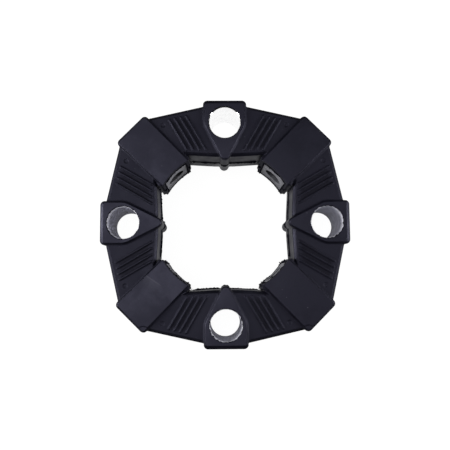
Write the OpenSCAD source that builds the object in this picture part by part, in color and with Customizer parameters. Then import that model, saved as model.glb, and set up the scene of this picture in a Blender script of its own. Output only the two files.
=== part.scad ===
// Four-arm flexible coupling element: a moulded rubber ring with four axial bolt lugs, and four
// corner blocks that carry aluminium inserts for radial bolts into the hub.
// Frame: origin on the coupling axis at the back pads, +Z along the axis, lugs on X and Y.

/* [Interfaces] */
// Diameter of the circle through the axial bolts
bolt_circle = 165; // [155:1:180]
// Bore of an axial sleeve
bore_d = 25.5; // [20:0.5:28]
// Diameter of the hub seat
hub_d = 117.4; // [108:0.2:124]
// Bore of a radial insert
bolt_d = 16; // [10:0.5:18]

/* [Ring] */
// Thickness over the raised pads
thickness = 50; // [44:0.5:64]
// Height of the pads above the arm faces
pad_step = 2; // [1:0.25:3]
// Angle of an arm's outer edge to the tangent
arm_slope = 12.7; // [8:0.1:18]
// Angle of an arm's inner wall to the tangent
wall_slope = 3.4; // [0:0.1:6]
// Depth of the inner walls inside the hub seat, at a lug
hub_relief = 5.5; // [3:0.5:8]
// Width of the bevel along the arm edges
arm_bevel = 2.5; // [1:0.25:4]
// Lean of the arm walls from the middle plane to the bevel
wall_draft = 0.7; // [0:0.1:1.5]

/* [Lugs] */
// Rubber beside a sleeve, across the lug
lug_side = 2.05; // [1:0.05:5]
// Rubber beyond a sleeve, at the lug's outer end
lug_end = 3.95; // [3:0.05:8]
// Rounding of a lug's outer end
lug_round = 2.2; // [1:0.1:3]
// Rubber between a sleeve and the tapered flank
lug_cover = 1.05; // [0.8:0.05:2]
// Distance that a lug stands out from the arms
lug_stand = 4.25; // [2:0.25:8]
// Radius of a lug pad's outer corners
lug_corner_r = 2; // [1:0.25:4]
// Radius of the shoulder where a lug starts to taper
lug_shoulder_r = 14; // [8:0.5:16]
// Radius of the half-round nub at a lug's inner tip
nub_r = 4.2; // [3:0.1:5]
// Rounding of a nub's ends
nub_round = 0.6; // [0.3:0.1:1]
// Distance that a nub stands out from the inner wall
nub_stand = 2.1; // [1:0.1:3]

/* [Corner blocks] */
// Rubber beside an insert, across the corner block
corner_side = 4.3; // [3:0.1:7]
// Distance that a corner block stands out from the arms
corner_stand = 3.6; // [2:0.1:8]
// Radius of a corner pad's outer corners
corner_r = 2.5; // [1:0.25:5]
// Angle by which each side of a corner pad opens outwards
corner_taper = 0.8; // [0:0.1:2]
// Rounding of a corner block's outer end
corner_round = 1; // [0.5:0.1:2]
// Width of the sloped foot beside a corner pad
corner_foot = 0.5; // [0.3:0.1:2]

/* [Pad flanks] */
// Lean of the steep flank around a raised pad
flank_lean = 0.5; // [0.2:0.1:1]
// Width of the sloped foot where a lug's flank meets the arm
foot_run = 1.1; // [0.5:0.1:2]
// Height of the sloped foot
foot_h = 0.8; // [0.4:0.1:1.2]
// Rounding of the pad edges
edge_round = 0.5; // [0.2:0.1:0.8]

/* [Ribs] */
// Ribs on each half of an arm
rib_count = 4; // [2:1:5]
// Distance from one rib to the next
rib_pitch = 4.5; // [3:0.1:6]
// Angle of the ribs to the lug's centreline
rib_angle = 30; // [20:1:35]
// Width of a rib at its foot
rib_w = 2; // [1.4:0.1:3]
// Width of a rib's crest
rib_crest = 1; // [0.4:0.1:1.2]
// Height of a rib
rib_h = 1; // [0.4:0.1:1.5]
// Distance from a lug's flank to the first rib
rib_gap = 9.3; // [5:0.1:12]
// Distance from the inner bevel to the foot of a rib's round end
rib_inset = 2.3; // [1.5:0.1:5]
// Distance from the outer bevel to the centre of a rib's round end
rib_outset = 3.1; // [1.5:0.1:5]

/* [Sleeves and inserts] */
// Wall of an axial sleeve
sleeve_wall = 2; // [1.5:0.25:4]
// Rubber skin over the ends of a sleeve
sleeve_skin = 1; // [0.5:0.25:3]
// Chamfer at a sleeve's bore
sleeve_chamfer = 1; // [0.3:0.1:1.4]
// Distance from the bore to the edge of the rubber skin
mouth_gap = 0.6; // [0.3:0.1:1.2]
// Width of a radial insert
insert_w = 24.4; // [22:0.2:28]
// Length of a radial insert from the hub seat to the bolt seat
insert_l = 29; // [20:0.5:36]
// Rubber lip above and below an insert
insert_lip = 5; // [3:0.5:9]
// Room around the bolt for its head
head_room = 5; // [3:0.25:6]
// Diameter of the tooling dimples in an insert's seat
dimple_d = 3; // [2:0.25:4]
// Depth of the tooling dimples
dimple_depth = 1.5; // [0.5:0.25:3]

/* [Mould marks] */
// Diameter of the round mould marks on the arms
mark_d = 3.8; // [2:0.2:5]
// Depth of the mould marks
mark_depth = 0.5; // [0.2:0.1:0.8]
// Distance from a corner block's flank to a mark
mark_gap = 4.6; // [3:0.2:8]
// Distance from a corner block's outer flat to a mark
mark_back = 16.7; // [12:0.5:24]
// Diameter of the ejector marks on the pad corners beside the south lug
tip_mark_d = 11; // [6:0.5:14]
// Depth of the ejector marks
tip_mark_depth = 0.3; // [0.2:0.1:0.5]

/* [Hidden] */

rubber_colour = [0.17, 0.17, 0.21];
metal_colour = [0.72, 0.72, 0.75];
round_fn = 96;
arc_steps = 8;
rib_arc_steps = 6;
cut_over = 1;
sink = 0.25;
arm_bury = 4.5;
brow_share = 0.65;

quarter = acos(0);
root2 = sqrt(2);
quarter_turns = [for (i = [0:3]) i * quarter];
corner_turn = quarter / 2;
marked_lug = quarter_turns[3];
mid_z = thickness / 2;
face_z = thickness - pad_step;

// Axial sleeves
bolt_r = bolt_circle / 2;
bore_r = bore_d / 2;
sleeve_r = bore_r + sleeve_wall;

// Flanks: how far the body stands out from the pad, above the foot and below it
flank_run = flank_lean + foot_run;
flank = [flank_lean, flank_run];
corner_flank = [flank_lean, flank_lean + corner_foot];
root_brow = [flank_lean, 1.5 * flank_run];
lug_brow = [lug_round * brow_share, lug_round];
nub_brow = [nub_round * brow_share, nub_round];
corner_brow = [corner_round * brow_share, corner_round];

// Lugs: the pad's tapered edge touches the nub's round and a circle of rubber around the sleeve
seat_r = hub_d / 2;
wall_in = seat_r - hub_relief;
nub_c = wall_in - nub_stand + nub_r;
tip_r = nub_r - nub_round;
lug_half = sleeve_r + lug_side;
lug_reach = bolt_r + sleeve_r + lug_end;
lug_flat = lug_reach - lug_round;
taper = asin((sleeve_r + lug_cover - tip_r) / (bolt_r - nub_c));
taper_level = tip_r - nub_c * sin(taper);
shoulder_x = ((lug_half - lug_shoulder_r) * cos(taper) - taper_level + lug_shoulder_r) / sin(taper);

// Arms: straight edges r = start - slope * t beside each lug
outer_slope = tan(arm_slope);
inner_slope = -tan(wall_slope);
arm_out = lug_reach - lug_stand + lug_half * outer_slope;

// Corner blocks
corner_half = insert_w / 2 + corner_side;
arm_meets_corner = (arm_out * root2 - corner_half * (1 - outer_slope)) / (1 + outer_slope);
corner_flat = arm_meets_corner + corner_stand;
corner_shoulder = arm_meets_corner - 2 * flank_run;
corner_root = (wall_in * root2 - corner_half * (1 - inner_slope)) / (1 + inner_slope);
arm_end = corner_half - arm_bury;
insert_h = thickness - 2 * insert_lip;
bolt_seat_r = seat_r + insert_l;
pocket_d = bolt_d + 2 * head_room;
dimple_rise = (bolt_d / 2 + insert_h / 2) / 2 + dimple_d / 2;

// Ribs
rib_in = wall_in + wall_draft + arm_bevel + rib_inset + rib_w / 2;
rib_start = (taper_level + rib_in * sin(taper)) / cos(taper) + rib_gap;
rib_line = arm_out - arm_bevel - rib_outset;
rib_slope = tan(rib_angle);
rib_step = rib_pitch / cos(rib_angle);

// An outline is a list of points [r, t, normal r, normal t, brow], where the brow says how far the
// body stands out from the pad there
function arc(centre, radius, from, to, brow, end_brow) = [
    for (i = [0:arc_steps])
        let (share = i / arc_steps, a = from + (to - from) * share)
            [
                centre[0] + radius * cos(a), centre[1] + radius * sin(a),
                cos(a), sin(a), brow * (1 - share) + end_brow * share
            ]
];

// One level of a loft: the outline moved along its normals, at height z
function level(outline, z, inset) = [
    for (p = outline)
        [p[0] - p[2] * inset, p[1] - p[3] * inset, z]
];

// One level of a loft: the outline moved out by its brow, above the foot or below it
function brow_level(outline, z, below) = [
    for (p = outline)
        let (move = p[4][below])
            [p[0] + p[2] * move, p[1] + p[3] * move, z]
];

// The same outline on the other side of the centreline, in reverse order
function mirrored(outline) = [
    for (i = [len(outline) - 1:-1:0])
        let (p = outline[i])
            [p[0], -p[1], p[2], -p[3], p[4]]
];

// Solid through a list of levels, each with the same number of points
module loft(levels) {
    n = len(levels[0]);
    last = len(levels) - 1;
    sides = [
        for (i = [0:last - 1], j = [0:n - 1])
            let (k = (j + 1) % n)
                [i * n + j, (i + 1) * n + j, (i + 1) * n + k, i * n + k]
    ];
    bottom = [for (j = [0:n - 1]) j];
    top = [for (j = [n - 1:-1:0]) last * n + j];
    polyhedron(points = [for (ring = levels) each ring], faces = concat([bottom], sides, [top]));
}

// Block with a raised pad on both faces: rounded edge, steep flank and a foot that runs out on the arms
module padded_block(outline) {
    loft([
        level(outline, 0, edge_round),
        level(outline, edge_round, 0),
        brow_level(outline, pad_step - foot_h, 0),
        brow_level(outline, pad_step + sink, 1),
        brow_level(outline, face_z - sink, 1),
        brow_level(outline, face_z + foot_h, 0),
        level(outline, thickness - edge_round, 0),
        level(outline, thickness, edge_round),
    ]);
}

// Lug on its centreline: square outer end, rounded shoulders and a taper to the nub
module lug() {
    side_end = arm_out - lug_half * outer_slope;
    half = concat(
        arc([lug_flat - lug_corner_r, lug_half - lug_corner_r], lug_corner_r, 0, quarter, lug_brow, corner_brow),
        [[side_end, lug_half, 0, 1, corner_brow], [side_end - arm_bevel, lug_half, 0, 1, flank]],
        arc([shoulder_x, lug_half - lug_shoulder_r], lug_shoulder_r, quarter, quarter + taper, flank, flank),
        [taper_point(wall_in + 2 * arm_bevel, flank), taper_point(wall_in + arm_bevel, nub_brow)],
        arc([nub_c, 0], tip_r, quarter + taper, 2 * quarter, nub_brow, nub_brow)
    );
    tip = len(half) - 1;
    padded_block(concat(half, mirrored([for (i = [0:tip - 1]) half[i]])));
}

// Point of a lug pad's tapered edge at radius r
function taper_point(r, brow) =
    [r, (taper_level + r * sin(taper)) / cos(taper), -sin(taper), cos(taper), brow];

// Point of a corner pad's side at radius r
function corner_point(r, brow) =
    [r, corner_half - flank_run + (r - seat_r) * tan(corner_taper), 0, 1, brow];

// Corner block on its centreline, cut to the hub seat
module corner_block() {
    arc_r = corner_flat - corner_round - corner_r;
    arc_w = corner_point(arc_r, corner_flank)[1] - corner_r;
    half = concat(
        arc([arc_r, arc_w], corner_r, 0, quarter, corner_brow, corner_brow),
        [
            corner_point(corner_shoulder, corner_flank),
            corner_point(corner_root + arm_bevel, corner_flank),
            corner_point(corner_root - arm_bevel, root_brow),
            corner_point(seat_r - 2 * edge_round, [0, 0]),
            corner_point(seat_r - corner_half / 2, [0, 0]),
        ]
    );
    difference() {
        padded_block(concat(half, mirrored(half)));
        translate([0, 0, -cut_over])
            cylinder(r = seat_r, h = thickness + 2 * cut_over, $fn = 2 * round_fn);
    }
}

// Two arms from one corner block to the next, joined by a flat crown inside the lug
module arm_pair() {
    section = [
        [wall_in, inner_slope, mid_z],
        [wall_in + wall_draft, inner_slope, pad_step + arm_bevel],
        [wall_in + wall_draft + arm_bevel, inner_slope, pad_step],
        [arm_out - arm_bevel, outer_slope, pad_step],
        [arm_out, outer_slope, pad_step + arm_bevel],
        [arm_out + wall_draft, outer_slope, mid_z],
        [arm_out, outer_slope, face_z - arm_bevel],
        [arm_out - arm_bevel, outer_slope, face_z],
        [wall_in + wall_draft + arm_bevel, inner_slope, face_z],
        [wall_in + wall_draft, inner_slope, face_z - arm_bevel],
    ];
    diagonal = arm_end * root2;
    ends = [
        for (side = [1, -1]) [
            for (p = section)
                let (t = (p[0] - diagonal) / (1 + p[1]))
                    [t + diagonal, side * t, p[2]]
        ]
    ];
    crown = [
        for (t = [lug_half / 2, -lug_half / 2])
            [for (p = section) [p[0] - p[1] * abs(t), t, p[2]]]
    ];
    loft([ends[0], crown[0], crown[1], ends[1]]);
}

// Ribs on both halves of an arm pair's face, which lies at z = 0
module ribs() {
    for (side = [0, 1], i = [0:rib_count - 1])
        mirror([0, side, 0])
            rib(rib_start + i * rib_step);
}

// One rib from the inner bevel to the outer one, starting at a sideways distance
module rib(start) {
    reach = (rib_line - outer_slope * start + outer_slope * rib_slope * rib_in) / (1 + outer_slope * rib_slope);
    ends = [[reach, start + (reach - rib_in) * rib_slope], [rib_in, start]];
    outline = [
        for (k = [0, 1], i = [0:rib_arc_steps])
            let (a = rib_angle - 90 + 180 * (k + i / rib_arc_steps))
                [ends[k][0] + rib_w / 2 * cos(a), ends[k][1] + rib_w / 2 * sin(a), cos(a), sin(a)]
    ];
    loft([level(outline, -sink, 0), level(outline, rib_h, (rib_w - rib_crest) / 2)]);
}

// Space of an axial sleeve: its seat in the rubber and the open mouths at both ends
module sleeve_space() {
    translate([bolt_r, 0, sleeve_skin])
        cylinder(r = sleeve_r, h = thickness - 2 * sleeve_skin, $fn = round_fn);
    translate([bolt_r, 0, -cut_over])
        cylinder(r = bore_r + mouth_gap, h = thickness + 2 * cut_over, $fn = round_fn);
}

// Block of a radial insert, from inside the hub seat to the bolt seat
module insert_block() {
    start = seat_r - corner_half / 2;
    translate([start, -insert_w / 2, insert_lip])
        cube([bolt_seat_r - start, insert_w, insert_h]);
}

// Pocket for a bolt's head, from the outer flat to the insert
module head_pocket() {
    translate([bolt_seat_r, 0, mid_z])
        rotate([0, 90, 0])
            cylinder(d = pocket_d, h = corner_flat - bolt_seat_r + cut_over, $fn = round_fn);
}

// Mould marks beside a corner block, on both faces
module mould_marks() {
    for (side = [-1, 1], z = [pad_step - cut_over, face_z - mark_depth])
        translate([corner_flat - mark_back, side * (corner_half + mark_gap), z])
            cylinder(d = mark_d, h = mark_depth + cut_over, $fn = round_fn / 2);
}

// Ejector mark on one outer corner of a corner pad, on the front face
module tip_mark(side) {
    tip = corner_point(corner_flat - corner_round, corner_flank);
    translate([tip[0], side * tip[1], thickness - tip_mark_depth])
        cylinder(d = tip_mark_d, h = tip_mark_depth + cut_over, $fn = round_fn);
}

// The moulded rubber body
module rubber_body() {
    color(rubber_colour)
        difference() {
            union() {
                for (turn = quarter_turns) {
                    rotate(turn) {
                        arm_pair();
                        lug();
                        translate([0, 0, face_z]) ribs();
                        translate([0, 0, pad_step]) mirror([0, 0, 1]) ribs();
                    }
                    rotate(turn + corner_turn) corner_block();
                }
            }
            for (turn = quarter_turns) {
                rotate(turn) sleeve_space();
                rotate(turn + corner_turn) {
                    insert_block();
                    head_pocket();
                    mould_marks();
                }
            }
            for (side = [-1, 1])
                rotate(marked_lug + side * corner_turn) tip_mark(-side);
        }
}

// Aluminium sleeve of an axial bolt, with chamfered mouths
module axial_sleeve(turn) {
    z0 = sleeve_skin;
    z1 = thickness - sleeve_skin;
    color(metal_colour)
        rotate(turn)
            translate([bolt_r, 0, 0])
                rotate_extrude($fn = round_fn)
                    polygon([
                        [bore_r + sleeve_chamfer, z0],
                        [sleeve_r, z0],
                        [sleeve_r, z1],
                        [bore_r + sleeve_chamfer, z1],
                        [bore_r, z1 - sleeve_chamfer],
                        [bore_r, z0 + sleeve_chamfer],
                    ]);
}

// Aluminium insert of a radial bolt, hollowed to the hub seat
module radial_insert(turn) {
    color(metal_colour)
        rotate(turn + corner_turn)
            difference() {
                insert_block();
                translate([0, 0, -cut_over])
                    cylinder(r = seat_r, h = thickness + 2 * cut_over, $fn = 2 * round_fn);
                translate([0, 0, mid_z])
                    rotate([0, 90, 0])
                        cylinder(d = bolt_d, h = bolt_seat_r + cut_over, $fn = round_fn);
                for (side = [-1, 1])
                    translate([0, 0, mid_z + side * dimple_rise])
                        rotate([0, 90, 0])
                            cylinder(d = dimple_d, h = seat_r + dimple_depth, $fn = round_fn / 2);
            }
}

rubber_body();
axial_sleeve(quarter_turns[0]);  // axial_sleeve_east
axial_sleeve(quarter_turns[1]);  // axial_sleeve_north
axial_sleeve(quarter_turns[2]);  // axial_sleeve_west
axial_sleeve(quarter_turns[3]);  // axial_sleeve_south
radial_insert(quarter_turns[0]);  // radial_insert_northeast
radial_insert(quarter_turns[1]);  // radial_insert_northwest
radial_insert(quarter_turns[2]);  // radial_insert_southwest
radial_insert(quarter_turns[3]);  // radial_insert_southeast
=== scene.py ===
"""Looks of a four-arm rubber coupling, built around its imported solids."""

import logging
import math
from dataclasses import dataclass, field
from enum import Enum
from typing import Any, Callable, Union

import bmesh
import bpy
from mathutils import Euler, Matrix, Vector, noise
from mathutils.kdtree import KDTree


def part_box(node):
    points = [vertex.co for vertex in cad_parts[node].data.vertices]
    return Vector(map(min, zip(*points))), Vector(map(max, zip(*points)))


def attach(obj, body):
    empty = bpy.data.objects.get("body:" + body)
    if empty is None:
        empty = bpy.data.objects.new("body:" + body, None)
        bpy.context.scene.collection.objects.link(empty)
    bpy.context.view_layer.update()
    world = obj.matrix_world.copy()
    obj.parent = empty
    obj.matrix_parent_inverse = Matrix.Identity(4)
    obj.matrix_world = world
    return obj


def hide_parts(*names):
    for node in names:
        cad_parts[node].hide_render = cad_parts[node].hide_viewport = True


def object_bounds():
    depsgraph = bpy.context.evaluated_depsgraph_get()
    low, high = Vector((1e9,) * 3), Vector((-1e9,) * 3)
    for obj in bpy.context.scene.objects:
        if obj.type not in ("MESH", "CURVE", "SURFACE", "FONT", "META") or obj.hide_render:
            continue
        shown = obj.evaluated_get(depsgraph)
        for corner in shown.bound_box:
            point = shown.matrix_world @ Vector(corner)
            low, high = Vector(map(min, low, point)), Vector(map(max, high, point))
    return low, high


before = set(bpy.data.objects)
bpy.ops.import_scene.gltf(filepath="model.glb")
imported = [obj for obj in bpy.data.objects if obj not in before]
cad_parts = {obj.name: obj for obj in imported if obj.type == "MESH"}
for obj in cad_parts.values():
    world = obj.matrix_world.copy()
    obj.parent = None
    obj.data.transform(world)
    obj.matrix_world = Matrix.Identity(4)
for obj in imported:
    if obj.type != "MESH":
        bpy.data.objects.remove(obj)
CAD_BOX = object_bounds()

LOG = logging.getLogger("coupling")
MM = 0.001
BODY = "root"
UP = Vector((0, 0, 1))
MIDDLE = CAD_BOX[1].z / 2
TOUCH = 0.001 * MM
RIB_GAP = "rib_gap"
Colour = tuple[float, float, float, float]


class Lug(Enum):
    """Axial bolt lugs, with the turn of each from +X in degrees."""

    EAST = 0
    NORTH = 90
    WEST = 180
    SOUTH = 270


class Corner(Enum):
    """Corner blocks, with the turn of each from +X in degrees."""

    NORTHEAST = 45
    NORTHWEST = 135
    SOUTHWEST = 225
    SOUTHEAST = 315


@dataclass(frozen=True)
class PackedSizes:
    """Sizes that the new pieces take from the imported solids, in metres."""

    bolt_r: float
    sleeve_r: float
    sleeve_top: float
    bore_r: float
    seat_r: float
    insert_half: float
    insert_low: float
    insert_high: float
    hole_r: float

    @classmethod
    def read(cls) -> "PackedSizes":
        """Reads the sizes from the frame's nodes."""
        low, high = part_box("axial_sleeve_east")
        middle = Vector(((low.x + high.x) / 2, (low.y + high.y) / 2))
        walls = [(Vector(v.co[:2]) - middle).length for v in cls._verts("axial_sleeve_east")]
        turned = Matrix.Rotation(math.radians(-Corner.NORTHEAST.value), 3, "Z")
        block = [turned @ v.co for v in cls._verts("radial_insert_northeast")]
        half = max(p.y for p in block)
        clear_of_hole = 0.4 * half
        return cls(
            bolt_r=middle.x,
            sleeve_r=max(walls),
            sleeve_top=high.z,
            bore_r=min(walls),
            seat_r=min(Vector(p[:2]).length for p in block if abs(p.y) > clear_of_hole),
            insert_half=half,
            insert_low=min(p.z for p in block),
            insert_high=max(p.z for p in block),
            hole_r=min(math.hypot(p.y, p.z - MIDDLE) for p in block),
        )

    @staticmethod
    def _verts(node: str) -> bpy.types.MeshVertices:
        """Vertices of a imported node."""
        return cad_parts[node].data.vertices


Number = Union[float, "Wire"]


class Wire:
    """A shader value: Python operators on it add Math nodes to its sheet."""

    def __init__(self, sheet: "NodeSheet", socket: bpy.types.NodeSocket) -> None:
        """Keeps the sheet and the socket that the value comes from."""
        self.sheet = sheet
        self.socket = socket

    def _math(self, operation: str, *values: Number) -> "Wire":
        """Adds one Math node.

        Args:
            operation: the Math node's operation.
            values: numbers or wires for its inputs.

        Returns:
            The node's value.
        """
        inputs = dict(enumerate(values))
        return self.sheet.node("ShaderNodeMath", {"operation": operation}, inputs)

    def __add__(self, other: Number) -> "Wire":
        """Sum."""
        return self._math("ADD", self, other)

    __radd__ = __add__

    def __sub__(self, other: Number) -> "Wire":
        """Difference."""
        return self._math("SUBTRACT", self, other)

    def __rsub__(self, other: Number) -> "Wire":
        """Difference from a number."""
        return self._math("SUBTRACT", other, self)

    def __mul__(self, other: Number) -> "Wire":
        """Product."""
        return self._math("MULTIPLY", self, other)

    __rmul__ = __mul__

    def __pow__(self, other: Number) -> "Wire":
        """Power."""
        return self._math("POWER", self, other)

    def __abs__(self) -> "Wire":
        """Size without sign."""
        return self._math("ABSOLUTE", self)

    def most(self, other: Number) -> "Wire":
        """The greater of two values."""
        return self._math("MAXIMUM", self, other)

    def ramp(self, low: float, high: float) -> "Wire":
        """Smooth step.

        Args:
            low: the value that gives 0.
            high: the value that gives 1.

        Returns:
            A mask from 0 to 1.
        """
        settings = {"interpolation_type": "SMOOTHSTEP"}
        inputs = {"Value": self, "From Min": low, "From Max": high}
        return self.sheet.node("ShaderNodeMapRange", settings, inputs)


class NodeSheet:
    """Node tree of one material or world, filled from Python expressions."""

    def __init__(self, tree: bpy.types.NodeTree) -> None:
        """Empties the tree."""
        self.tree = tree
        tree.nodes.clear()

    def add(self, kind: str, settings: dict[str, Any], inputs: dict[Any, Any]) -> bpy.types.Node:
        """Adds a node.

        Args:
            kind: the node's type.
            settings: its properties, which are set first.
            inputs: values or wires, by the name or number of its input.

        Returns:
            The node.
        """
        made = self.tree.nodes.new(kind)
        for name, value in settings.items():
            setattr(made, name, value)
        for name, value in inputs.items():
            socket = made.inputs[name]
            if isinstance(value, Wire):
                self.tree.links.new(value.socket, socket)
            else:
                socket.default_value = value
        return made

    def node(self, kind: str, settings: dict[str, Any], inputs: dict[Any, Any], out: Any = 0) -> Wire:
        """Adds a node and gives the output with this name or number."""
        return Wire(self, self.add(kind, settings, inputs).outputs[out])

    def mix(self, share: Wire, low: Any, high: Any) -> Wire:
        """Mixes two colours.

        Args:
            share: how much of the second colour shows.
            low: the first colour.
            high: the second colour.

        Returns:
            The mixed colour.
        """
        settings = {"data_type": "RGBA", "clamp_factor": True}
        return self.node("ShaderNodeMix", settings, {0: share, 6: low, 7: high}, 2)

    def noise(self, size: float, detail: float = 2.0) -> Wire:
        """Noise on object coordinates.

        Args:
            size: width of its cells in metres.
            detail: octaves of finer noise.

        Returns:
            A value around 0.5.
        """
        inputs = {"Vector": self.place(), "Scale": 1 / size, "Detail": detail}
        return self.node("ShaderNodeTexNoise", {}, inputs)

    def place(self) -> Wire:
        """Object coordinates."""
        return self.node("ShaderNodeTexCoord", {}, {}, "Object")

    def axis(self, name: str) -> Wire:
        """One of the object coordinates, by its letter."""
        return self.node("ShaderNodeSeparateXYZ", {}, {0: self.place()}, name)

    def vector(self, operation: str, first: Any, second: Vector, out: str) -> Wire:
        """Adds one Vector Math node and gives its named output."""
        return self.node("ShaderNodeVectorMath", {"operation": operation}, {0: first, 1: second}, out)

    def light_path(self, ray: str) -> Wire:
        """Says whether a ray is of this kind, by its name on the Light Path node."""
        return self.node("ShaderNodeLightPath", {}, {}, ray)

    def surface(self, shader: Wire, kind: str = "ShaderNodeOutputMaterial") -> None:
        """Ends the tree in this shader."""
        self.add(kind, {}, {"Surface": shader})


def new_material(name: str) -> tuple[bpy.types.Material, NodeSheet]:
    """Makes a material with an empty tree.

    Args:
        name: the material's name.

    Returns:
        The material and the sheet to fill.
    """
    material = bpy.data.materials.new(name)
    material.use_nodes = True
    return material, NodeSheet(material.node_tree)


@dataclass(frozen=True)
class RubberFinish:
    """Moulded black rubber: a faint blue bloom, dust, matt arms, painted shade between the ribs and one pale
    crease.
    """

    name: str = "moulded_rubber"
    dark: Colour = (0.0048, 0.0047, 0.0090, 1)
    bloom: Colour = (0.0095, 0.0093, 0.0165, 1)
    dust: Colour = (0.14, 0.14, 0.16, 1)
    crease: Colour = (0.085, 0.085, 0.098, 1)
    gap_shade_colour: Colour = (0.0015, 0.0015, 0.0026, 1)
    sheen: Colour = (0.72, 0.71, 1.0, 1)
    gloss: float = 0.5
    rough_low: float = 0.34
    rough_high: float = 0.52
    rough_arm: float = 0.18
    rough_seat: float = 0.4
    gap_shade_share: float = 0.8
    gap_shade_rough: float = 0.85
    gap_shade_gloss: float = 0.1
    arm_drop: float = 2 * MM
    cloud: float = 22 * MM
    mottle: float = 3 * MM
    grain: float = 0.35 * MM
    grain_depth: float = 0.05 * MM
    grain_strength: float = 0.25
    speck: float = 5.5 * MM
    speck_drift: float = 14 * MM
    speck_share: float = 0.8
    seat_half: float = 0.0
    seat_r: float = 0.0
    crease_from: Vector = field(default_factory=lambda: Vector((-64.9, -41.5, 50)) * MM)
    crease_to: Vector = field(default_factory=lambda: Vector((-50.1, -51.7, 50)) * MM)
    crease_glow: float = 11 * MM

    def material(self) -> bpy.types.Material:
        """Builds the material."""
        made, sheet = new_material(self.name)
        cloud = sheet.noise(self.cloud, 4)
        grain = sheet.noise(self.grain, 3)
        mottle = sheet.noise(self.mottle, 3)
        tone = sheet.mix((cloud * 0.7 + mottle * 0.3).ramp(0.35, 0.65), self.dark, self.bloom)
        # The crease is colour only: a pale line with a wider, fainter pale band on one side.
        with_crease = sheet.mix(self._crease(sheet) * (0.4 + 0.6 * mottle), tone, self.crease)
        colour = sheet.mix(self._specks(sheet) * self.speck_share, with_crease, self.dust)
        haze = (cloud * 0.8 + mottle * 0.2).ramp(0.34, 0.66)
        matt = self.rough_arm * self._arms(sheet) + self.rough_seat * self._seats(sheet)
        rough = self.rough_low + (self.rough_high - self.rough_low) * haze + matt
        relief = {"Strength": self.grain_strength, "Distance": self.grain_depth, "Height": grain}
        inputs = {"Base Color": colour, "Roughness": rough}
        inputs |= {"Normal": sheet.node("ShaderNodeBump", {}, relief)}
        inputs |= {"Specular IOR Level": self.gloss, "Specular Tint": self.sheen}
        clean = sheet.node("ShaderNodeBsdfPrincipled", {}, inputs)
        # Painted shade: where the rib_gap mark is set, a near-black matt shader darkens the arm between the
        # ribs.
        gap = sheet.node("ShaderNodeAttribute", {"attribute_name": RIB_GAP}, {}, "Fac")
        share = gap * self.gap_shade_share * (0.75 + 0.5 * mottle)
        sheet.surface(sheet.node("ShaderNodeMixShader", {}, {0: share, 1: clean, 2: self._gap_shade(sheet)}))
        return made

    def _gap_shade(self, sheet: NodeSheet) -> Wire:
        """Shader of the painted shade between the ribs: near black and matt.

        Args:
            sheet: the material's sheet.

        Returns:
            The shader.
        """
        inputs = {"Base Color": self.gap_shade_colour, "Roughness": self.gap_shade_rough}
        inputs |= {"Specular IOR Level": self.gap_shade_gloss}
        return sheet.node("ShaderNodeBsdfPrincipled", {}, inputs)

    def _specks(self, sheet: NodeSheet) -> Wire:
        """Mask of the dust specks, which gather in drifts.

        Args:
            sheet: the material's sheet.

        Returns:
            The mask.
        """
        cells = {"Vector": sheet.place(), "Scale": 1 / self.speck}
        away = sheet.node("ShaderNodeTexVoronoi", {}, cells, "Distance")
        return (1 - away.ramp(0.035, 0.075)) * sheet.noise(self.speck_drift, 1).ramp(0.52, 0.6)

    def _arms(self, sheet: NodeSheet) -> Wire:
        """Mask of the arms' faces, which lie a step below the pads.

        Args:
            sheet: the material's sheet.

        Returns:
            The mask.
        """
        height = abs(sheet.axis("Z") - MIDDLE)
        low = MIDDLE - self.arm_drop
        above = height.ramp(low + 0.4 * MM, low + 1.4 * MM)
        return height.ramp(low - 2 * MM, low - 0.3 * MM) * (1 - above)

    def _seats(self, sheet: NodeSheet) -> Wire:
        """Mask of the inner walls beside the inserts.

        Args:
            sheet: the material's sheet.

        Returns:
            The mask.
        """
        across = abs(abs(sheet.axis("X")) - abs(sheet.axis("Y"))) * math.sqrt(0.5)
        reach = (sheet.axis("X") ** 2 + sheet.axis("Y") ** 2) ** 0.5
        beside = 1 - across.ramp(self.seat_half + 3 * MM, self.seat_half + 6 * MM)
        below = 1 - abs(sheet.axis("Z") - MIDDLE).ramp(MIDDLE - 1.5 * MM, MIDDLE - 0.6 * MM)
        return beside * below * (1 - reach.ramp(self.seat_r + 2 * MM, self.seat_r + 4 * MM))

    def _crease(self, sheet: NodeSheet) -> Wire:
        """Mask of the crease: a fine line with a wide soft edge on one side.

        Args:
            sheet: the material's sheet.

        Returns:
            The mask.
        """
        run = self.crease_to - self.crease_from
        along = run.normalized()
        offset = sheet.vector("SUBTRACT", sheet.place(), self.crease_from, "Vector")
        share = sheet.vector("DOT_PRODUCT", offset, along, "Value")
        away = sheet.vector("DOT_PRODUCT", offset, UP.cross(along), "Value")
        rise = sheet.vector("DOT_PRODUCT", offset, UP, "Value")
        length = share.ramp(-2 * MM, 4 * MM) * (1 - share.ramp(0.6 * run.length, 1.1 * run.length))
        line = 1 - abs(away).ramp(0.2 * MM, 0.7 * MM)
        glow = (1 - abs(away).ramp(0.0, self.crease_glow)) * (1 - away.ramp(-0.4 * MM, 0.2 * MM))
        return (line * 0.55 + glow * 0.3) * length * rise.ramp(-0.3 * MM, -0.05 * MM)


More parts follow.
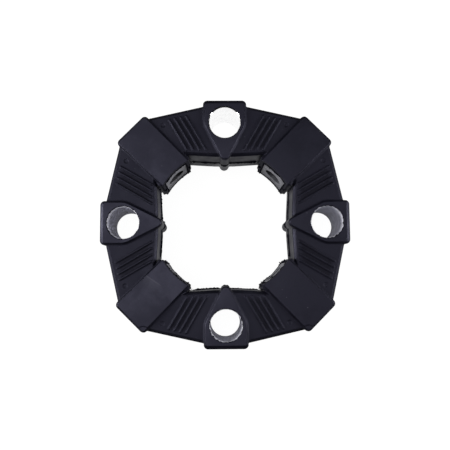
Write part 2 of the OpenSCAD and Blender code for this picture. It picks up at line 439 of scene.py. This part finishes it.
@dataclass(frozen=True)
class MetalFinish:
    """Bare aluminium, dulled and marked by machining, with painted shade on the walls of its radial holes
    where a hole radius is given.
    """

    name: str
    light: Colour = (0.88, 0.88, 0.96, 1)
    dull: Colour = (0.66, 0.66, 0.74, 1)
    metallic: float = 0.2
    rough_low: float = 0.5
    rough_high: float = 0.66
    hole_r: float = 0.0
    hole_shade: Colour = (0.02, 0.02, 0.02, 1)
    stain: float = 6 * MM
    line: float = 0.8 * MM
    line_depth: float = 0.03 * MM
    line_strength: float = 0.1

    def material(self) -> bpy.types.Material:
        """Builds the material."""
        made, sheet = new_material(self.name)
        stain = sheet.noise(self.stain, 4)
        lines = sheet.noise(self.line, 2)
        colour = sheet.mix((stain * 0.6 + lines * 0.4).ramp(0.35, 0.65), self.dull, self.light)
        # Painted shade: the walls of the radial holes are darkened in the colour.
        if self.hole_r:
            colour = sheet.mix(self._hole_shade(sheet), colour, self.hole_shade)
        rough = self.rough_low + (self.rough_high - self.rough_low) * stain
        relief = {"Strength": self.line_strength, "Distance": self.line_depth, "Height": lines}
        inputs = {"Base Color": colour, "Roughness": rough, "Metallic": self.metallic}
        inputs |= {"Normal": sheet.node("ShaderNodeBump", {}, relief)}
        sheet.surface(sheet.node("ShaderNodeBsdfPrincipled", {}, inputs))
        return made

    def _hole_shade(self, sheet: NodeSheet) -> Wire:
        """Mask of the painted shade on the walls of the radial holes, heavier on the side nearer the Y axis,
        the north side on the northern inserts.

        Args:
            sheet: the material's sheet.

        Returns:
            The mask.
        """
        across = (abs(sheet.axis("X")) - abs(sheet.axis("Y"))) * math.sqrt(0.5)
        rise = sheet.axis("Z") - MIDDLE
        away = (across**2 + rise**2) ** 0.5
        north = 1 - across.ramp(-self.hole_r, 0.8 * self.hole_r)
        return (1 - away.ramp(self.hole_r, self.hole_r + 0.4 * MM)) * (0.35 + 0.6 * north)


def shape(name: str, mesh: bpy.types.Mesh) -> bpy.types.Object:
    """Puts a mesh in the scene as an object at the origin.

    Args:
        name: the object's name.
        mesh: its mesh, with its place in its vertices.

    Returns:
        The object.
    """
    made = bpy.data.objects.new(name, mesh)
    bpy.context.scene.collection.objects.link(made)
    return made


def settled(source: bpy.types.Object, name: str) -> bpy.types.Mesh:
    """Applies an object's modifiers and removes the object.

    Args:
        source: the object with its modifiers.
        name: name of the new mesh.

    Returns:
        The finished mesh.
    """
    graph = bpy.context.evaluated_depsgraph_get()
    mesh = bpy.data.meshes.new_from_object(source.evaluated_get(graph))
    mesh.name = name
    bpy.data.objects.remove(source)
    return mesh


def dress(piece: bpy.types.Object, material: bpy.types.Material) -> None:
    """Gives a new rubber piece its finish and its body.

    Args:
        piece: the piece.
        material: its finish.
    """
    piece.data.materials.clear()
    piece.data.materials.append(material)
    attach(piece, BODY)
    LOG.info("%s: %d faces", piece.name, len(piece.data.polygons))


def merged_copy(node: str) -> bmesh.types.BMesh:
    """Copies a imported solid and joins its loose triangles.

    Args:
        node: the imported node's name.

    Returns:
        The copy, which the caller frees.
    """
    work = bmesh.new()
    work.from_mesh(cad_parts[node].data)
    bmesh.ops.remove_doubles(work, verts=work.verts, dist=TOUCH)
    return work


def to_mesh(work: bmesh.types.BMesh, name: str) -> bpy.types.Mesh:
    """Writes a bmesh to a new mesh and frees it.

    Args:
        work: the bmesh.
        name: the mesh's name.

    Returns:
        The mesh.
    """
    mesh = bpy.data.meshes.new(name)
    work.to_mesh(mesh)
    work.free()
    return mesh


def split_edges(work: bmesh.types.BMesh, step: float) -> None:
    """Divides every edge into lengths of about one step.

    Args:
        work: a bmesh of edges.
        step: the length wanted.
    """
    for edge in list(work.edges):
        cuts = int(edge.calc_length() / step)
        if cuts:
            bmesh.ops.subdivide_edges(work, edges=[edge], cuts=cuts)


def fringe(work: bmesh.types.BMesh, move: Callable[[Vector], Vector]) -> None:
    """Grows a one-face wide strip from every edge.

    Args:
        work: a bmesh of edges, which gains the strip.
        move: gives the place of a strip's free edge from the place of its root.
    """
    grown = bmesh.ops.extrude_edge_only(work, edges=work.edges[:])
    for vert in grown["geom"]:
        if isinstance(vert, bmesh.types.BMVert):
            vert.co = move(vert.co)


def thicken(work: bmesh.types.BMesh, way: Vector) -> None:
    """Gives a strip its thickness and turns its faces outwards.

    Args:
        work: the strip.
        way: direction and amount of the thickness.
    """
    grown = bmesh.ops.extrude_face_region(work, geom=work.faces[:])
    moved = [part for part in grown["geom"] if isinstance(part, bmesh.types.BMVert)]
    bmesh.ops.translate(work, verts=moved, vec=way)
    bmesh.ops.recalc_face_normals(work, faces=work.faces)


def ragged(place: Vector, coarse: float, fine: float) -> float:
    """Share from 0 to 1 that wanders along a torn edge.

    Args:
        place: a point of the edge.
        coarse: length of its broad waves.
        fine: length of its small teeth.

    Returns:
        The share.
    """
    wave = 0.5 + 0.8 * noise.noise(place / coarse)
    teeth = 0.5 + 0.9 * noise.noise(place / fine)
    return min(max(wave * 0.6 + teeth * 0.4, 0.0), 1.0)


@dataclass
class RubberMoulding:
    """The moulded rubber body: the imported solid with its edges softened."""

    finish: bpy.types.Material
    voxel: float = 0.34 * MM
    passes: int = 3
    most_triangles: int = 190000
    flat: float = 0.995
    snap: float = 0.1 * MM
    least_level: float = 400 * MM * MM
    arm_drop: float = 2 * MM
    crest_low: float = 0.65 * MM
    crest_high: float = 1.1 * MM
    foot: float = 0.4 * MM
    crest_level: float = 0.9
    gap_reach: float = 4.2 * MM
    lean_open: float = 0.45
    lean_shut: float = 0.2

    def build(self) -> bpy.types.Object:
        """Builds and dresses the body."""
        solid = merged_copy("rubber_body")
        levels = self._levels(solid)
        source = shape("rubber_source", to_mesh(solid, "rubber_source"))
        remesh = source.modifiers.new("skin", "REMESH")
        remesh.mode = "VOXEL"
        remesh.voxel_size = self.voxel
        skin = settled(source, "rubber_skin")
        crests = self._soften(skin, levels)
        thick = shape("rubber_skin", skin)
        thin = thick.modifiers.new("thin", "DECIMATE")
        thin.ratio = self.most_triangles / (2 * len(skin.polygons))
        piece = shape("rubber_moulding", settled(thick, "rubber_moulding"))
        for face in piece.data.polygons:
            face.use_smooth = abs(face.normal.z) < self.flat
        self._mark_gaps(piece.data, crests)
        dress(piece, self.finish)
        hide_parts("rubber_body")
        return piece

    def _levels(self, solid: bmesh.types.BMesh) -> list[float]:
        """Finds the heights of the solid's broad level faces.

        Args:
            solid: the merged solid.

        Returns:
            The heights.
        """
        areas: dict[float, float] = {}
        for face in solid.faces:
            if abs(face.normal.z) > self.flat:
                height = round(face.verts[0].co.z, 5)
                areas[height] = areas.get(height, 0.0) + face.calc_area()
        return [height for height, area in areas.items() if area > self.least_level]

    def _soften(self, mesh: bpy.types.Mesh, levels: list[float]) -> KDTree:
        """Rounds the edges of the mesh and evens its level faces.

        Args:
            mesh: the mesh, which is changed.
            levels: heights of the level faces.

        Returns:
            The points along the crests of the ribs.
        """
        work = bmesh.new()
        work.from_mesh(mesh)
        for _ in range(self.passes):
            bmesh.ops.smooth_vert(
                work, verts=work.verts, factor=0.5, use_axis_x=True, use_axis_y=True, use_axis_z=True
            )
        work.normal_update()
        crests: list[Vector] = []
        for vert in work.verts:
            if abs(vert.normal.z) > self.flat:
                level = min(levels, key=lambda height: abs(height - vert.co.z))
                if abs(level - vert.co.z) < self.snap:
                    vert.co.z = level
            on_crest = self.crest_low < self._above_arm(vert.co) < self.crest_high
            if on_crest and abs(vert.normal.z) > self.crest_level:
                crests.append(vert.co.copy())
        work.to_mesh(mesh)
        work.free()
        tree = KDTree(len(crests))
        for index, crest in enumerate(crests):
            tree.insert(crest, index)
        tree.balance()
        return tree

    def _above_arm(self, place: Vector) -> float:
        """Height of a point above the nearer face of the arms."""
        return abs(place.z - MIDDLE) - (MIDDLE - self.arm_drop)

    def _mark_gaps(self, mesh: bpy.types.Mesh, crests: KDTree) -> None:
        """Marks the vertices that lie between two ribs.

        Args:
            mesh: the mesh, which gains the attribute.
            crests: points along the crests of the ribs.
        """
        # The mark tells the rubber finish where to paint shade between the ribs.
        marks = mesh.attributes.new(RIB_GAP, "FLOAT", "POINT")
        span = self.lean_open - self.lean_shut
        for vert in mesh.vertices:
            if abs(self._above_arm(vert.co)) < self.foot:
                near = crests.find_range(vert.co, self.gap_reach)
                ways = [(crest - vert.co).normalized() for crest, _, _ in near]
                if ways:
                    lean = sum(ways, Vector()).length / len(ways)
                    marks.data[vert.index].value = min(max((self.lean_open - lean) / span, 0.0), 1.0)


@dataclass
class PartingFlash:
    """Ragged fin that the mould's parting line leaves on the open walls, at half the thickness."""

    finish: bpy.types.Material
    sizes: PackedSizes
    clear: float = 1 * MM
    wall_depth: float = 1.5 * MM
    inner_depth: float = 3 * MM
    step: float = 0.6 * MM
    thick: float = 0.7 * MM
    sink: float = 0.4 * MM
    inner_low: float = 0.5 * MM
    inner_high: float = 1.9 * MM
    outer_high: float = 0.45 * MM
    coarse: float = 7 * MM
    fine: float = 1.3 * MM

    def build(self) -> bpy.types.Object:
        """Builds and dresses the fin."""
        work = merged_copy("rubber_body")
        parts = work.verts[:] + work.edges[:] + work.faces[:]
        cut = bmesh.ops.bisect_plane(work, geom=parts, dist=TOUCH, plane_co=UP * MIDDLE, plane_no=UP)
        section = [part for part in cut["geom_cut"] if isinstance(part, bmesh.types.BMEdge)]
        rim = {edge for edge in section if self._open(edge)}
        bmesh.ops.delete(work, geom=work.faces[:], context="FACES_ONLY")
        bmesh.ops.delete(work, geom=[edge for edge in work.edges if edge not in rim], context="EDGES")
        bmesh.ops.delete(work, geom=[vert for vert in work.verts if not vert.link_edges], context="VERTS")
        split_edges(work, self.step)
        for vert in work.verts:
            vert.co = self._along(vert.co, -self.sink)
        fringe(work, lambda place: self._along(place, self.sink + self._height(place)))
        bmesh.ops.translate(work, verts=work.verts, vec=UP * (-self.thick / 2))
        thicken(work, UP * self.thick)
        piece = shape("parting_flash", to_mesh(work, "parting_flash"))
        dress(piece, self.finish)
        return piece

    def _open(self, edge: bmesh.types.BMEdge) -> bool:
        """Says whether an edge lies on a wall that shows.

        Args:
            edge: an edge of the section at half the thickness.

        Returns:
            True where the fin grows.
        """
        place = (edge.verts[0].co + edge.verts[1].co) / 2
        reach = Vector(place[:2]).length
        inner = reach < self.sizes.seat_r + self.wall_depth
        outer = reach > self.sizes.bolt_r + self.sizes.sleeve_r / 2
        nearest = min((Vector(place[:2]) - self._bore(lug)).length for lug in Lug)
        in_bore = nearest < self.sizes.sleeve_r + self.clear
        return (inner or outer) and not in_bore and self._across(place) > self.sizes.insert_half + self.clear

    def _bore(self, lug: Lug) -> Vector:
        """Centre of a lug's bore."""
        turn = math.radians(lug.value)
        return Vector((math.cos(turn), math.sin(turn))) * self.sizes.bolt_r

    def _across(self, place: Vector) -> float:
        """Distance of a point from the nearest diagonal."""
        return abs(abs(place.x) - abs(place.y)) / math.sqrt(2)

    def _inner(self, place: Vector) -> bool:
        """Says whether a point is on the inside of the ring."""
        return Vector(place[:2]).length < self.sizes.seat_r + self.inner_depth

    def _along(self, place: Vector, reach: float) -> Vector:
        """Moves a point away from the rubber.

        Args:
            place: the point.
            reach: how far it moves.

        Returns:
            The moved point.
        """
        way = Vector((place.x, place.y, 0)).normalized()
        return place + way * (-reach if self._inner(place) else reach)

    def _height(self, place: Vector) -> float:
        """Height of the fin at a point.

        Args:
            place: the point.

        Returns:
            The height.
        """
        share = ragged(place, self.coarse, self.fine)
        if self._inner(place):
            return self.inner_low + (self.inner_high - self.inner_low) * share**2
        return self.outer_high * share


@dataclass
class MouthFlash:
    """Torn rubber skin at the front mouths of the axial sleeves."""

    finish: bpy.types.Material
    sizes: PackedSizes
    segments: int = 220
    root_gap: float = 0.9 * MM
    least: float = -0.6 * MM
    most: float = 0.7 * MM
    thick: float = 0.35 * MM
    gap: float = 0.05 * MM
    coarse: float = 2.5 * MM
    fine: float = 0.55 * MM

    def build(self) -> None:
        """Builds and dresses the skin of every lug."""
        for lug in Lug:
            name = f"mouth_flash_{lug.name.lower()}"
            dress(shape(name, to_mesh(self._ring(lug), name)), self.finish)

    def _ring(self, lug: Lug) -> bmesh.types.BMesh:
        """Builds the torn ring of one mouth.

        Args:
            lug: the lug.

        Returns:
            The ring in its place.
        """
        turn = math.radians(lug.value)
        height = self.sizes.sleeve_top + self.gap
        centre = Vector((math.cos(turn), math.sin(turn), 0)) * self.sizes.bolt_r + UP * height
        work = bmesh.new()
        bmesh.ops.create_circle(work, segments=self.segments, radius=self.sizes.bore_r + self.root_gap)
        bmesh.ops.translate(work, verts=work.verts, vec=centre)
        fringe(work, lambda place: self._torn(place, centre))
        thicken(work, UP * self.thick)
        return work

    def _torn(self, place: Vector, centre: Vector) -> Vector:
        """Place of the torn edge from a point of its root.

        Args:
            place: the point of the root.
            centre: centre of the mouth.

        Returns:
            The place of the torn edge.
        """
        way = (centre - place).normalized()
        share = ragged(place, self.coarse, self.fine)
        return place + way * (self.root_gap + self.least + (self.most - self.least) * share**3)


@dataclass
class SeatFlash:
    """Ragged rubber rim that stands round an insert's seat."""

    finish: bpy.types.Material
    sizes: PackedSizes
    step: float = 0.5 * MM
    sink: float = 0.4 * MM
    least: float = 0.15 * MM
    most: float = 1.3 * MM
    end_most: float = 2.4 * MM
    thick: float = 0.8 * MM
    coarse: float = 5 * MM
    fine: float = 1.2 * MM

    def build(self) -> None:
        """Builds and dresses the rim of every insert."""
        for corner in Corner:
            name = f"seat_flash_{corner.name.lower()}"
            dress(shape(name, to_mesh(self._rim(corner), name)), self.finish)

    def _rim(self, corner: Corner) -> bmesh.types.BMesh:
        """Builds the rim of one seat.

        Args:
            corner: the corner block.

        Returns:
            The rim in its place.
        """
        half, low, high = self.sizes.insert_half, self.sizes.insert_low, self.sizes.insert_high
        work = bmesh.new()
        bmesh.ops.create_grid(work, x_segments=1, y_segments=1, size=0.5)
        bmesh.ops.scale(work, verts=work.verts, vec=Vector((2 * half, high - low, 1)))
        bmesh.ops.delete(work, geom=work.faces[:], context="FACES_ONLY")
        split_edges(work, self.step)
        stand = Matrix(((0, 0, 1), (1, 0, 0), (0, 1, 0))).to_4x4()
        turn = Matrix.Rotation(math.radians(corner.value), 4, "Z")
        place = Matrix.Translation(UP * (low + high) / 2) @ stand
        bmesh.ops.transform(work, matrix=place, verts=work.verts)
        for vert in work.verts:
            vert.co.x = math.sqrt(self.sizes.seat_r**2 - vert.co.y**2) + self.sink
        fringe(work, lambda root: root - Vector((self.sink + self._height(root, turn @ root), 0, 0)))
        grown = bmesh.ops.extrude_face_region(work, geom=work.faces[:])
        for vert in grown["geom"]:
            if isinstance(vert, bmesh.types.BMVert):
                vert.co += self._inward(vert.co) * self.thick
        bmesh.ops.recalc_face_normals(work, faces=work.faces)
        bmesh.ops.transform(work, matrix=turn, verts=work.verts)
        return work

    def _at_end(self, place: Vector) -> bool:
        """Says whether a point is on an upright end of the seat."""
        return self.sizes.insert_half - abs(place.y) < TOUCH

    def _inward(self, place: Vector) -> Vector:
        """Direction from an edge of the seat to its inside.

        Args:
            place: a point of the edge.

        Returns:
            The direction.
        """
        if self._at_end(place):
            return Vector((0, -math.copysign(1, place.y), 0))
        return UP * -math.copysign(1, place.z - (self.sizes.insert_low + self.sizes.insert_high) / 2)

    def _height(self, root: Vector, turned: Vector) -> float:
        """Height of the rim at a point.

        Args:
            root: the point, beside +X.
            turned: its final place, which makes each rim ragged in its own way.

        Returns:
            The height.
        """
        most = self.end_most if self._at_end(root) else self.most
        return self.least + (most - self.least) * ragged(turned, self.coarse, self.fine) ** 2


@dataclass(frozen=True)
class Softbox:
    """A rectangular soft lamp that faces the coupling."""

    name: str
    place: Vector
    size: tuple[float, float]
    power: float

    def hang(self) -> None:
        """Adds the lamp to the scene."""
        data = bpy.data.lights.new(self.name, "AREA")
        data.shape = "RECTANGLE"
        data.size, data.size_y = self.size
        data.energy = self.power
        lamp = bpy.data.objects.new(self.name, data)
        bpy.context.scene.collection.objects.link(lamp)
        turn = (UP * MIDDLE - self.place).to_track_quat("-Z", "Y").to_matrix().to_4x4()
        lamp.matrix_world = Matrix.Translation(self.place) @ turn


@dataclass
class Studio:
    """Camera, floor and lights. The floor's reflections fade by place, in shares of its white; the brighter
    shares under the ring, in its opening and in a patch under the north bore are painted reflections.
    """

    sizes: PackedSizes
    eye: Vector = field(default_factory=lambda: Vector((-7.978, -45.651, 502.796)) * MM)
    tilt: tuple[float, float, float] = (-0.0953, 0.0167, 0.0052)
    focal_px: float = 565.0
    frame_px: float = 450.0
    sensor: float = 36.0
    floor_half: float = 4.0
    floor_white: Colour = (0.96, 0.96, 0.96, 1)
    floor_matt: Colour = (0.18, 0.18, 0.18, 1)
    fill: float = 0.03
    shine_far: float = 0.03
    shine_under: float = 0.18
    shine_opening: float = 0.19
    shine_north_glint: float = 0.79
    north_glint_r: float = 25 * MM
    opening_r: float = 66 * MM

    def build(self) -> None:
        """Builds the whole studio."""
        self._camera()
        self._floor()
        self._world()
        Softbox("softbox_left", Vector((-0.46, 0.0, 0.20)), (0.3, 0.14), 1.3).hang()
        Softbox("softbox_right", Vector((0.46, 0.0, 0.20)), (0.3, 0.14), 1.1).hang()
        Softbox("softbox_top", Vector((-0.23, 0.07, 1.1)), (0.6, 0.8), 3.3).hang()
        bpy.context.scene.view_settings.view_transform = "Standard"

    def _camera(self) -> None:
        """Places the camera."""
        data = bpy.data.cameras.new("camera")
        data.sensor_width = self.sensor
        data.lens = self.focal_px * self.sensor / self.frame_px
        camera = bpy.data.objects.new("camera", data)
        bpy.context.scene.collection.objects.link(camera)
        turn = Euler(self.tilt, "XYZ").to_matrix().transposed().to_4x4()
        camera.matrix_world = Matrix.Translation(self.eye) @ turn
        bpy.context.scene.camera = camera

    def _floor(self) -> None:
        """Lays a plain pale floor that keeps the shadow."""
        work = bmesh.new()
        bmesh.ops.create_grid(work, x_segments=1, y_segments=1, size=self.floor_half)
        floor = shape("floor", to_mesh(work, "floor"))
        material, sheet = new_material("pale_floor")
        white = sheet.mix(self._seen(sheet), (0, 0, 0, 1), self.floor_white)
        glow = sheet.node("ShaderNodeEmission", {}, {"Color": white})
        matt = sheet.node("ShaderNodeBsdfDiffuse", {}, {"Color": self.floor_matt})
        sheet.surface(sheet.node("ShaderNodeAddShader", {}, {0: glow, 1: matt}))
        floor.data.materials.append(material)

    def _seen(self, sheet: NodeSheet) -> Wire:
        """Share of the floor's white that a ray sees: all of it for the camera, by place in reflections.

        Args:
            sheet: the floor's sheet.

        Returns:
            The share.
        """
        # Painted reflections: reflected rays see more of the floor under the ring and in its opening, and
        # most in a patch under the north bore, which brightens the inner walls and bores and makes the north
        # sleeve shine.
        north = sheet.vector("DISTANCE", sheet.place(), Vector((0, self.sizes.bolt_r, 0)), "Value")
        centre = sheet.vector("DISTANCE", sheet.place(), Vector(), "Value")
        north_glint = 1 - north.ramp(self.north_glint_r, 1.3 * self.north_glint_r)
        opening = 1 - centre.ramp(self.opening_r, 1.2 * self.opening_r)
        under = 1 - centre.ramp(CAD_BOX[1].x, 1.3 * CAD_BOX[1].x)
        near = self.shine_under * under + self.shine_opening * opening + self.shine_north_glint * north_glint
        mirrored = sheet.light_path("Is Glossy Ray") * (self.shine_far + near)
        return sheet.light_path("Is Camera Ray").most(mirrored).most(sheet.light_path("Is Transmission Ray"))

    def _world(self) -> None:
        """Sets an even soft light all round, which the camera sees as white."""
        world = bpy.data.worlds.new("studio")
        world.use_nodes = True
        bpy.context.scene.world = world
        sheet = NodeSheet(world.node_tree)
        strength = sheet.light_path("Is Camera Ray").most(self.fill)
        inputs = {"Color": (1, 1, 1, 1), "Strength": strength}
        sheet.surface(sheet.node("ShaderNodeBackground", {}, inputs), "ShaderNodeOutputWorld")


def dress_metal(sizes: PackedSizes) -> None:
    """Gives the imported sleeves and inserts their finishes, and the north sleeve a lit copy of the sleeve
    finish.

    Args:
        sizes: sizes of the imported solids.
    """
    dull = MetalFinish("sleeve_dull").material()
    # Painted light: the north sleeve gets a lighter, polished copy of the sleeve finish, so that with the
    # floor's glint under it it shows near white.
    north_lit_copy = MetalFinish(
        "sleeve_lit_copy",
        light=(0.95, 0.95, 0.95, 1),
        dull=(0.86, 0.86, 0.87, 1),
        metallic=1,
        rough_low=0.08,
        rough_high=0.16,
    ).material()
    insert = MetalFinish(
        "insert_aluminium",
        light=(0.52, 0.52, 0.58, 1),
        dull=(0.24, 0.24, 0.27, 1),
        rough_low=0.45,
        rough_high=0.62,
        hole_r=sizes.hole_r,
    ).material()
    for lug in Lug:
        repaint(f"axial_sleeve_{lug.name.lower()}", north_lit_copy if lug is Lug.NORTH else dull)
    for corner in Corner:
        repaint(f"radial_insert_{corner.name.lower()}", insert)


def repaint(node: str, material: bpy.types.Material) -> None:
    """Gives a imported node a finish.

    Args:
        node: the node's name.
        material: its finish.
    """
    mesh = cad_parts[node].data
    mesh.materials.clear()
    mesh.materials.append(material)
    LOG.info("%s: %s", node, material.name)


def main() -> None:
    """Builds every piece in order."""
    logging.basicConfig(level=logging.INFO, format="%(name)s %(message)s")
    sizes = PackedSizes.read()
    LOG.info("%s", sizes)
    Studio(sizes).build()
    RubberMoulding(RubberFinish(seat_half=sizes.insert_half, seat_r=sizes.seat_r).material()).build()
    torn = RubberFinish(name="torn_rubber", gloss=0.08, rough_low=0.7, rough_high=0.88).material()
    PartingFlash(torn, sizes).build()
    MouthFlash(torn, sizes).build()
    SeatFlash(torn, sizes).build()
    dress_metal(sizes)


if __name__ == "__main__":
    main()
